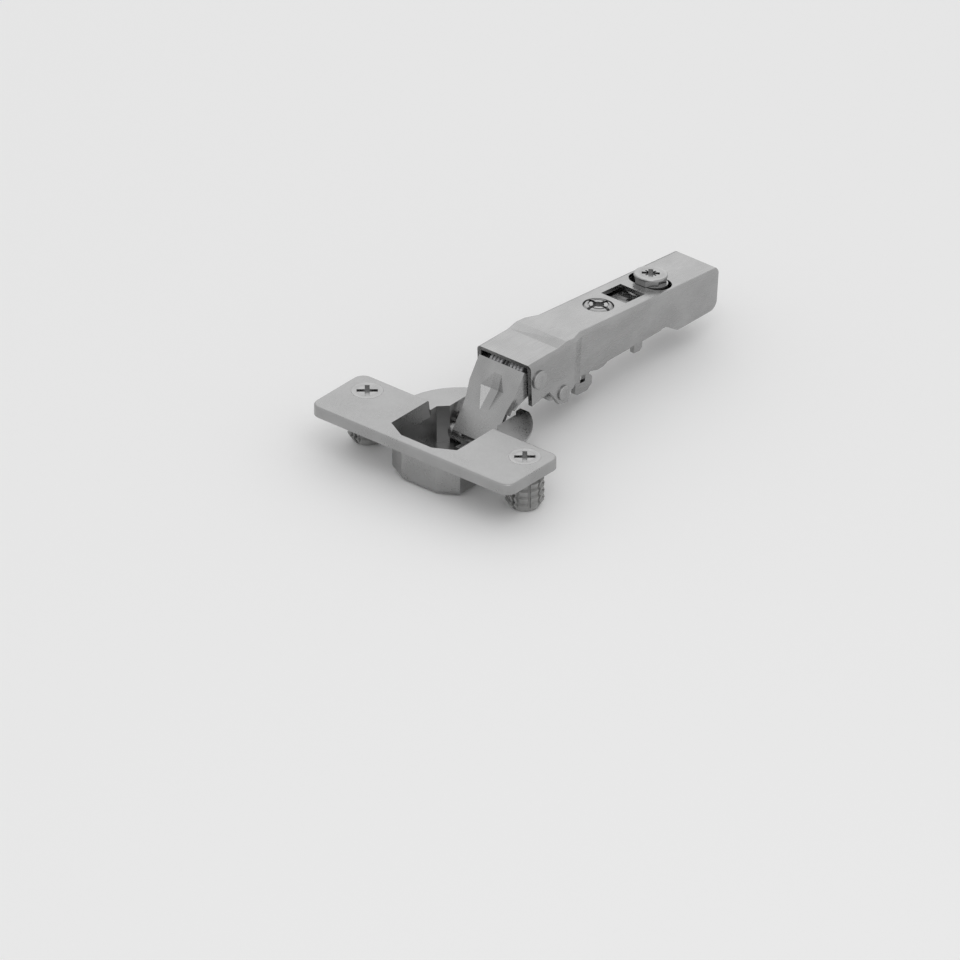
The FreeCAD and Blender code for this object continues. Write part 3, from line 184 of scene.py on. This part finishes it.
def nickel_plated_casting(name, colours):
    """Nickel plate on die-cast zinc: satin, with the even tooth that plating leaves on a casting.

    The tooth is taken as under 0.1 mm, too fine to show. It is drawn 0.35 mm in the roughness and
    1.4 mm in the relief, because a relief of 0.35 mm gave black specks in the render.
    """
    material, tree = new_material(name)
    tooth = pattern(tree, (0.35, 0.35, 0.35), detail=1.0)
    cloud = pattern(tree, (9.0, 9.0, 9.0), detail=2.0)
    skin = pattern(tree, (1.4, 1.4, 1.4), detail=1.0)
    relief = add(tree, "ShaderNodeBump",
                 {"Height": skin, "Strength": 0.15, "Distance": 0.02 * MM}).outputs[0]
    close_material(tree, {
        "Metallic": 1.0,
        "Base Color": two_tones(tree, cloud, colours),
        "Roughness": clouded(tree, tooth, (0.28, 0.38), cloud, (-0.03, 0.03)),
        "Normal": relief,
    })
    return material


def turned_nickel(name, colours, centre, axis, step_mm):
    """Nickel plate on a turned or headed end: rings about the piece's own axis, centred on it.

    Rings lie 2 pi * step_mm apart, because the wave turns 20 radians a unit. Tool marks are taken
    as about 0.1 mm apart, too fine to show, so they are drawn this coarse.
    """
    material, tree = new_material(name)
    tilt = ARM_TILT if axis == "tilted" else 0.0
    place = add(tree, "ShaderNodeTexCoord").outputs["Object"]
    moved = add(tree, "ShaderNodeMapping",
                {"Vector": place, "Location": [-c for c in centre]}).outputs[0]
    mapped = add(tree, "ShaderNodeMapping",
                 {"Vector": moved, "Rotation": (tilt, 0.0, 0.0)}).outputs[0]
    radians_per_unit = 20
    rings = add(tree, "ShaderNodeTexWave",
                {"Vector": mapped, "Scale": 1 / (step_mm * MM * radians_per_unit),
                 "Distortion": 0.6, "Detail": 1.0},
                wave_type="RINGS", rings_direction="X" if axis == "X" else "Z").outputs["Fac"]
    cloud = pattern(tree, (3.0, 3.0, 3.0), centre, detail=2.0)
    relief = add(tree, "ShaderNodeBump",
                 {"Height": rings, "Strength": 0.12, "Distance": 0.02 * MM}).outputs[0]
    rough = add(tree, "ShaderNodeMapRange",
                {"Value": rings, "To Min": 0.22, "To Max": 0.34}).outputs["Result"]
    close_material(tree, {
        "Metallic": 1.0,
        "Base Color": two_tones(tree, cloud, colours),
        "Roughness": rough,
        "Normal": relief,
    })
    return material


def zinc_flake_wire(name, colours):
    """Spring wire with a zinc flake coat: matt silver grey with slight drawing streaks.

    The coat is half metal flake and half binder. Real streaks are taken as too fine to
    show, and are drawn 0.2 mm wide and 1.5 mm long.
    """
    material, tree = new_material(name)
    streak = pattern(tree, (0.2, 1.5, 1.5), detail=2.0)
    rough = add(tree, "ShaderNodeMapRange",
                {"Value": streak, **NOISE_RANGE, "To Min": 0.42, "To Max": 0.55}).outputs["Result"]
    close_material(tree, {
        "Metallic": 0.5,
        "Base Color": two_tones(tree, streak, colours),
        "Roughness": rough,
    })
    return material


def moulded_plastic(name, colours, grain_mm, rough):
    """Moulded nylon or acetal: the satin skin that a spark-eroded mould leaves.

    The mould's texture is taken as under 0.1 mm, too fine to show, and is drawn grain_mm wide.
    """
    material, tree = new_material(name)
    grain = pattern(tree, (grain_mm, grain_mm, grain_mm), detail=2.0)
    cloud = pattern(tree, (4.0, 4.0, 4.0), detail=2.0)
    relief = add(tree, "ShaderNodeBump",
                 {"Height": grain, "Strength": 0.2, "Distance": 0.04 * MM}).outputs[0]
    satin = add(tree, "ShaderNodeMapRange",
                {"Value": grain, **NOISE_RANGE,
                 "To Min": rough - 0.05, "To Max": rough + 0.06}).outputs["Result"]
    close_material(tree, {
        "IOR": 1.53,
        "Base Color": two_tones(tree, cloud, colours),
        "Roughness": satin,
        "Normal": relief,
    })
    return material


def coat(material, *nodes):
    """Gives CAD nodes one material on every slot."""
    for name in nodes:
        slots = NODES[name].data.materials
        if not slots:
            slots.append(material)
        for i in range(len(slots)):
            slots[i] = material


def coat_rings(prefix, colours, axes, step_mm):
    """Gives each turned or headed node rings about its own middle."""
    for name, axis in axes.items():
        low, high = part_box(name)
        centre = (Vector(low) + Vector(high)) / 2
        coat(turned_nickel(prefix + name, colours, centre, axis, step_mm), name)


def soften_edges(width, *nodes):
    """Rounds the sharp edges of CAD nodes, as tumbling and plating leave them."""
    for name in nodes:
        piece = NODES[name]
        weld = piece.modifiers.new("joined corners", "WELD")
        weld.merge_threshold = JOINED_MM * MM
        bevel = piece.modifiers.new("softened edges", "BEVEL")
        bevel.width = width
        bevel.segments = EDGE_SEGMENTS
        bevel.limit_method = "ANGLE"
        bevel.angle_limit = SHARP_ANGLE
        bevel.use_clamp_overlap = True
        bevel.harden_normals = True


def closing_coil(name, side, start_mm, turns, pitch_mm, coil_mm, wire_mm):
    """Coil of round wire about the front arm pin, on one side of the hinge's middle.

    Middle line, for a from 0 to turns: x = side * (start + pitch * a),
    (y, z) = pin + R * (cos, sin)(2 pi a), where R is the coil's radius.
    Tube, for t once round: middle line + r * (cos t * outward + sin t * sideways), where r is the
    wire's radius w. Each end is half a ball: its rows reach on round the coil by up to w, and
    r = sqrt(w^2 - reach^2) falls to a small tip there.
    """
    rows_per_turn, ball_rows, columns, tip = 56, 4, 18, 0.02
    ball = 1 - np.sin(np.linspace(0, np.pi / 2, ball_rows + 1))[:-1]
    steps = round(turns * rows_per_turn) + 1
    along = np.concatenate([0 * ball, np.linspace(0, turns, steps), 0 * ball + turns])
    reach = np.concatenate([ball, np.zeros(steps), -ball[::-1]]) * wire_mm
    radius = np.sqrt(np.maximum(wire_mm ** 2 - reach ** 2, 0))
    radius[[0, -1]] = tip * wire_mm

    angle = 2 * np.pi * along - reach / coil_mm
    outward = np.stack([0 * angle, np.cos(angle), np.sin(angle)], 1)
    sideways = np.array([1.0, 0.0, 0.0])
    middle = np.array(FRONT_PIN_MM) + coil_mm * outward
    middle[:, 0] += side * (start_mm + pitch_mm * along)
    turn = np.linspace(0, 2 * np.pi, columns, endpoint=False)[None, :, None]
    ring = np.cos(turn) * outward[:, None, :] + np.sin(turn) * sideways
    points = (middle[:, None, :] + radius[:, None, None] * ring).reshape(-1, 3) * MM

    rows = len(along)
    i, j = np.meshgrid(np.arange(rows - 1), np.arange(columns), indexing="ij")
    k = (j + 1) % columns
    corners = [i * columns + j, i * columns + k, (i + 1) * columns + k, (i + 1) * columns + j]
    faces = np.stack(corners, -1).reshape(-1, 4)
    caps = [list(range(columns))[::-1], list(range((rows - 1) * columns, rows * columns))]
    mesh = bpy.data.meshes.new(name)
    mesh.from_pydata(points.tolist(), [], faces.tolist() + caps)
    mesh.validate()
    mesh.shade_smooth()
    bm = bmesh.new()
    bm.from_mesh(mesh)
    bmesh.ops.recalc_face_normals(bm, faces=bm.faces)
    bm.to_mesh(mesh)
    bm.free()
    piece = bpy.data.objects.new(name, mesh)
    bpy.context.scene.collection.objects.link(piece)
    return piece


def hex_property(name, description, code):
    """Property that holds an sRGB hex colour."""
    return bpy.props.StringProperty(name=name, description=description, default=code)


def length_property(name, description, mm):
    """Property that holds a length, with its default given in millimetres."""
    return bpy.props.FloatProperty(name=name, description=description, default=mm * MM,
                                   unit="LENGTH")


class HingeFinish(bpy.types.PropertyGroup):
    """Colours of the finishes, edge widths and the closing coils' sizes"""
    sheet_light: hex_property("Sheet, light", "Lighter tone of the plated sheet", "#aaaaaa")
    sheet_dark: hex_property("Sheet, dark", "Darker tone of the plated sheet", "#9f9f9f")
    cast_light: hex_property("Casting, light", "Lighter tone of the plated casting", "#a8a8a8")
    cast_dark: hex_property("Casting, dark", "Darker tone of the plated casting", "#9f9f9f")
    wire_light: hex_property("Wire, light", "Lighter tone of the spring wire", "#c6c6c8")
    wire_dark: hex_property("Wire, dark", "Darker tone of the spring wire", "#b2b2b4")
    nylon_light: hex_property("Nylon, light", "Lighter tone of the dowels", "#9a9a99")
    nylon_dark: hex_property("Nylon, dark", "Darker tone of the dowels", "#8e8e8d")
    acetal_light: hex_property("Acetal, light", "Lighter tone of the spring sleeve", "#a4a4a5")
    acetal_dark: hex_property("Acetal, dark", "Darker tone of the spring sleeve", "#989899")
    cast_edge: length_property("Casting edge", "Width of the casting's softened edges", 0.2)
    sheet_edge: length_property("Sheet edge", "Width of the sheet's softened edges", 0.15)
    coil_start: length_property("Coil start", "From the hinge's middle to the wire's middle", 1.27)
    coil_pitch: length_property("Coil pitch", "From one turn of a coil to the next", 1.085)
    coil_radius: length_property("Coil radius", "From the pin to the middle of the wire", 3.3)
    wire_radius: length_property("Wire radius", "Radius of the closing coils' wire", 0.5)
    coil_turns: bpy.props.FloatProperty(
        name="Coil turns", description="Turns of each closing coil", default=4.2)


class HingeStudio(bpy.types.PropertyGroup):
    """Camera, floor and light"""
    azimuth: bpy.props.FloatProperty(
        name="Azimuth", description="Camera turn from the flange's front",
        default=math.radians(40), subtype="ANGLE", unit="ROTATION")
    elevation: bpy.props.FloatProperty(
        name="Elevation", description="Camera height above the horizon",
        default=math.radians(30), subtype="ANGLE", unit="ROTATION")
    pixels_per_mm: bpy.props.FloatProperty(
        name="Pixels per mm", description="Scale of the 960 pixel picture", default=3.957)
    target: bpy.props.FloatVectorProperty(
        name="Target", description="Point at the picture's centre",
        default=(0.01117, -0.00545, -0.00937), subtype="XYZ", unit="LENGTH")
    floor_drop: length_property("Floor drop", "Floor below the hinge's lowest point", 0.0)
    floor_colour: hex_property("Floor", "Colour of the floor", "#f8f8f8")
    backdrop_colour: hex_property(
        "Backdrop", "Colour that the camera and the metal see past the floor", "#e9e9e9")
    light_colour: hex_property("Light", "Colour of the light from all round", "#f6f6f6")
    light_strength: bpy.props.FloatProperty(
        name="Light strength", description="Strength of the light from all round", default=0.8)
    panel_power: bpy.props.FloatProperty(
        name="Panel", description="Power of the lamp behind the hinge", default=0.55,
        unit="POWER")
    key_power: bpy.props.FloatProperty(
        name="Key", description="Power of the lamp over the camera", default=1.2,
        unit="POWER")
    lamp_side: bpy.props.FloatProperty(
        name="Lamp side", description="Side of each square lamp", default=0.6, unit="LENGTH")


class CUPHINGE_OT_cup(bpy.types.Operator):
    """Nickel-plated zinc casting on the cup"""
    bl_idname = "cuphinge.cup"
    bl_label = "Cup"

    def execute(self, context):
        look = context.scene.hinge_finish
        tone = (look.cast_dark, look.cast_light)
        coat(nickel_plated_casting("nickel_plated_zinc", tone), "hinge_cup")
        soften_edges(look.cast_edge, "hinge_cup")
        return {"FINISHED"}


class CUPHINGE_OT_arm(bpy.types.Operator):
    """Nickel-plated rolled steel on the arm, the carrier and its latch, with grain along the arm"""
    bl_idname = "cuphinge.arm"
    bl_label = "Arm and carrier"

    def execute(self, context):
        look = context.scene.hinge_finish
        tone = (look.sheet_dark, look.sheet_light)
        lean = (ARM_TILT, 0.0, 0.0)
        coat(nickel_plated_sheet("nickel_plated_arm", tone, lean), "arm_shell")
        # Another centre, so that the carrier's clouds differ from the arm's.
        centre = (0.003, 0.01, 0.002)
        coat(nickel_plated_sheet("nickel_plated_carrier", tone, lean, centre),
             "clip_carrier", "clip_latch")
        soften_edges(look.sheet_edge, "arm_shell", "clip_carrier", "clip_latch")
        return {"FINISHED"}


class CUPHINGE_OT_links(bpy.types.Operator):
    """Nickel-plated rolled steel on the two links"""
    bl_idname = "cuphinge.links"
    bl_label = "Links"

    def execute(self, context):
        look = context.scene.hinge_finish
        tone = (look.sheet_dark, look.sheet_light)
        lean = (math.radians(-55), 0.0, 0.0)
        coat(nickel_plated_sheet("nickel_plated_link", tone, lean), "outer_link", "inner_link")
        soften_edges(look.sheet_edge, "outer_link", "inner_link")
        return {"FINISHED"}


class CUPHINGE_OT_pins(bpy.types.Operator):
    """Nickel-plated turned steel on the pins and rivets, with rings about their own axes"""
    bl_idname = "cuphinge.pins"
    bl_label = "Pins"

    def execute(self, context):
        look = context.scene.hinge_finish
        axes = {"cup_pin_lower": "X", "cup_pin_upper": "X", "arm_pin_front": "X",
                "arm_pin_rear": "X", "latch_pin": "X"}
        coat_rings("turned_", (look.cast_dark, look.sheet_light), axes, 0.25)
        return {"FINISHED"}


class CUPHINGE_OT_screws(bpy.types.Operator):
    """Nickel-plated headed steel on the screws, the cam and its stud"""
    bl_idname = "cuphinge.screws"
    bl_label = "Screws"

    def execute(self, context):
        look = context.scene.hinge_finish
        axes = {"fixing_screw_left": "Z", "fixing_screw_right": "Z", "side_screw": "tilted",
                "depth_cam": "tilted", "cam_stud": "tilted"}
        coat_rings("headed_", (look.cast_dark, look.sheet_light), axes, 0.3)
        return {"FINISHED"}


class CUPHINGE_OT_springs(bpy.types.Operator):
    """Zinc flake wire on the springs, with new closing coils, and moulded acetal on the sleeve"""
    bl_idname = "cuphinge.springs"
    bl_label = "Springs"

    def execute(self, context):
        look = context.scene.hinge_finish
        wire = zinc_flake_wire("zinc_flake_spring_wire", (look.wire_dark, look.wire_light))
        coat(wire, "latch_spring")
        for name, side in (("left", -1), ("right", 1)):
            coil = closing_coil(
                "closing_coil_" + name, side, look.coil_start / MM, look.coil_turns,
                look.coil_pitch / MM, look.coil_radius / MM, look.wire_radius / MM)
            coil.data.materials.append(wire)
            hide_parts("closing_spring_" + name)
            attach(coil, "arm")
        tone = (look.acetal_dark, look.acetal_light)
        coat(moulded_plastic("moulded_acetal", tone, grain_mm=0.15, rough=0.42), "spring_sleeve")
        return {"FINISHED"}


class CUPHINGE_OT_dowels(bpy.types.Operator):
    """Moulded grey nylon on the two dowels"""
    bl_idname = "cuphinge.dowels"
    bl_label = "Dowels"

    def execute(self, context):
        look = context.scene.hinge_finish
        tone = (look.nylon_dark, look.nylon_light)
        coat(moulded_plastic("moulded_nylon", tone, grain_mm=0.2, rough=0.5),
             "dowel_left", "dowel_right")
        return {"FINISHED"}


def lay_floor(scene, studio):
    """Wide matt floor that touches the hinge's lowest point."""
    reach, height = FLOOR_REACH, FRAME_BOX[0][2] - studio.floor_drop
    mesh = bpy.data.meshes.new("floor")
    mesh.from_pydata([(-reach, -reach, height), (reach, -reach, height),
                      (reach, reach, height), (-reach, reach, height)], [], [(0, 1, 2, 3)])
    floor = bpy.data.objects.new("floor", mesh)
    scene.collection.objects.link(floor)
    material, tree = new_material("pale_floor")
    close_material(tree, {"Roughness": 0.9, "Base Color": linear(studio.floor_colour),
                          "Specular IOR Level": 0.1})
    mesh.materials.append(material)


def light_world(scene, studio):
    """Even light from all round. Camera, mirror and glass rays see the backdrop colour."""
    world = bpy.data.worlds.new("studio")
    world.use_nodes = True
    tree = world.node_tree
    tree.nodes.clear()
    light = add(tree, "ShaderNodeBackground",
                {"Color": linear(studio.light_colour), "Strength": studio.light_strength})
    seen = add(tree, "ShaderNodeBackground",
               {"Color": linear(studio.backdrop_colour), "Strength": 1.0})
    path = add(tree, "ShaderNodeLightPath").outputs
    looks = path["Is Camera Ray"]
    for ray in ("Is Glossy Ray", "Is Transmission Ray"):
        looks = add(tree, "ShaderNodeMath", {0: looks, 1: path[ray]},
                    operation="MAXIMUM").outputs[0]
    mixed = add(tree, "ShaderNodeMixShader", {0: looks, 1: light.outputs[0], 2: seen.outputs[0]})
    add(tree, "ShaderNodeOutputWorld", {"Surface": mixed.outputs[0]})
    scene.world = world


def hang_lamps(scene, studio):
    """Two square lamps that face the hinge."""
    for name, place, watts in (("panel", Vector(PANEL_PLACE), studio.panel_power),
                               ("key", Vector(KEY_PLACE), studio.key_power)):
        lamp = bpy.data.lights.new(name, "AREA")
        lamp.size = studio.lamp_side
        lamp.energy = watts
        light = bpy.data.objects.new(name, lamp)
        light.location = place
        light.rotation_euler = (Vector(LAMP_AIM) - place).to_track_quat("-Z", "Y").to_euler()
        scene.collection.objects.link(light)


def place_camera(scene, studio):
    """Parallel camera on the drawing's view, with its scale in pixels a millimetre."""
    turn, rise = studio.azimuth, studio.elevation
    right = Vector((math.cos(turn), math.sin(turn), 0))
    back = Vector((math.sin(turn) * math.cos(rise), -math.cos(turn) * math.cos(rise),
                   math.sin(rise)))
    up = back.cross(right)
    camera = bpy.data.objects.new("camera", bpy.data.cameras.new("camera"))
    camera.data.type = "ORTHO"
    camera.data.ortho_scale = PICTURE_PIXELS / studio.pixels_per_mm * MM
    camera.data.clip_start, camera.data.clip_end = CAMERA_CLIP
    spot = Vector(studio.target) + back * CAMERA_DISTANCE
    camera.matrix_world = Matrix(((right.x, up.x, back.x, spot.x),
                                  (right.y, up.y, back.y, spot.y),
                                  (right.z, up.z, back.z, spot.z), (0, 0, 0, 1)))
    scene.collection.objects.link(camera)
    scene.camera = camera


class CUPHINGE_OT_stage(bpy.types.Operator):
    """Pale floor, soft studio light and the camera"""
    bl_idname = "cuphinge.stage"
    bl_label = "Studio"

    def execute(self, context):
        scene = context.scene
        studio = scene.hinge_studio
        lay_floor(scene, studio)
        light_world(scene, studio)
        hang_lamps(scene, studio)
        place_camera(scene, studio)
        scene.view_settings.view_transform = "Standard"
        return {"FINISHED"}


OPERATORS = (CUPHINGE_OT_cup, CUPHINGE_OT_arm, CUPHINGE_OT_links, CUPHINGE_OT_pins,
             CUPHINGE_OT_screws, CUPHINGE_OT_springs, CUPHINGE_OT_dowels, CUPHINGE_OT_stage)


class CUPHINGE_PT_panel(bpy.types.Panel):
    """Lists the pieces of the hinge"""
    bl_idname = "CUPHINGE_PT_panel"
    bl_label = "Cup hinge"
    bl_space_type = "VIEW_3D"
    bl_region_type = "UI"
    bl_category = "Cup hinge"

    def draw(self, context):
        for operator in OPERATORS:
            self.layout.operator(operator.bl_idname)


CLASSES = (HingeFinish, HingeStudio) + OPERATORS + (CUPHINGE_PT_panel,)


def register():
    for cls in CLASSES:
        bpy.utils.register_class(cls)
    bpy.types.Scene.hinge_finish = bpy.props.PointerProperty(type=HingeFinish)
    bpy.types.Scene.hinge_studio = bpy.props.PointerProperty(type=HingeStudio)


def unregister():
    del bpy.types.Scene.hinge_studio
    del bpy.types.Scene.hinge_finish
    for cls in reversed(CLASSES):
        bpy.utils.unregister_class(cls)


def main():
    register()
    bpy.ops.cuphinge.cup()
    bpy.ops.cuphinge.arm()
    bpy.ops.cuphinge.links()
    bpy.ops.cuphinge.pins()
    bpy.ops.cuphinge.screws()
    bpy.ops.cuphinge.springs()
    bpy.ops.cuphinge.dowels()
    bpy.ops.cuphinge.stage()


if __name__ == "__main__":
    main()
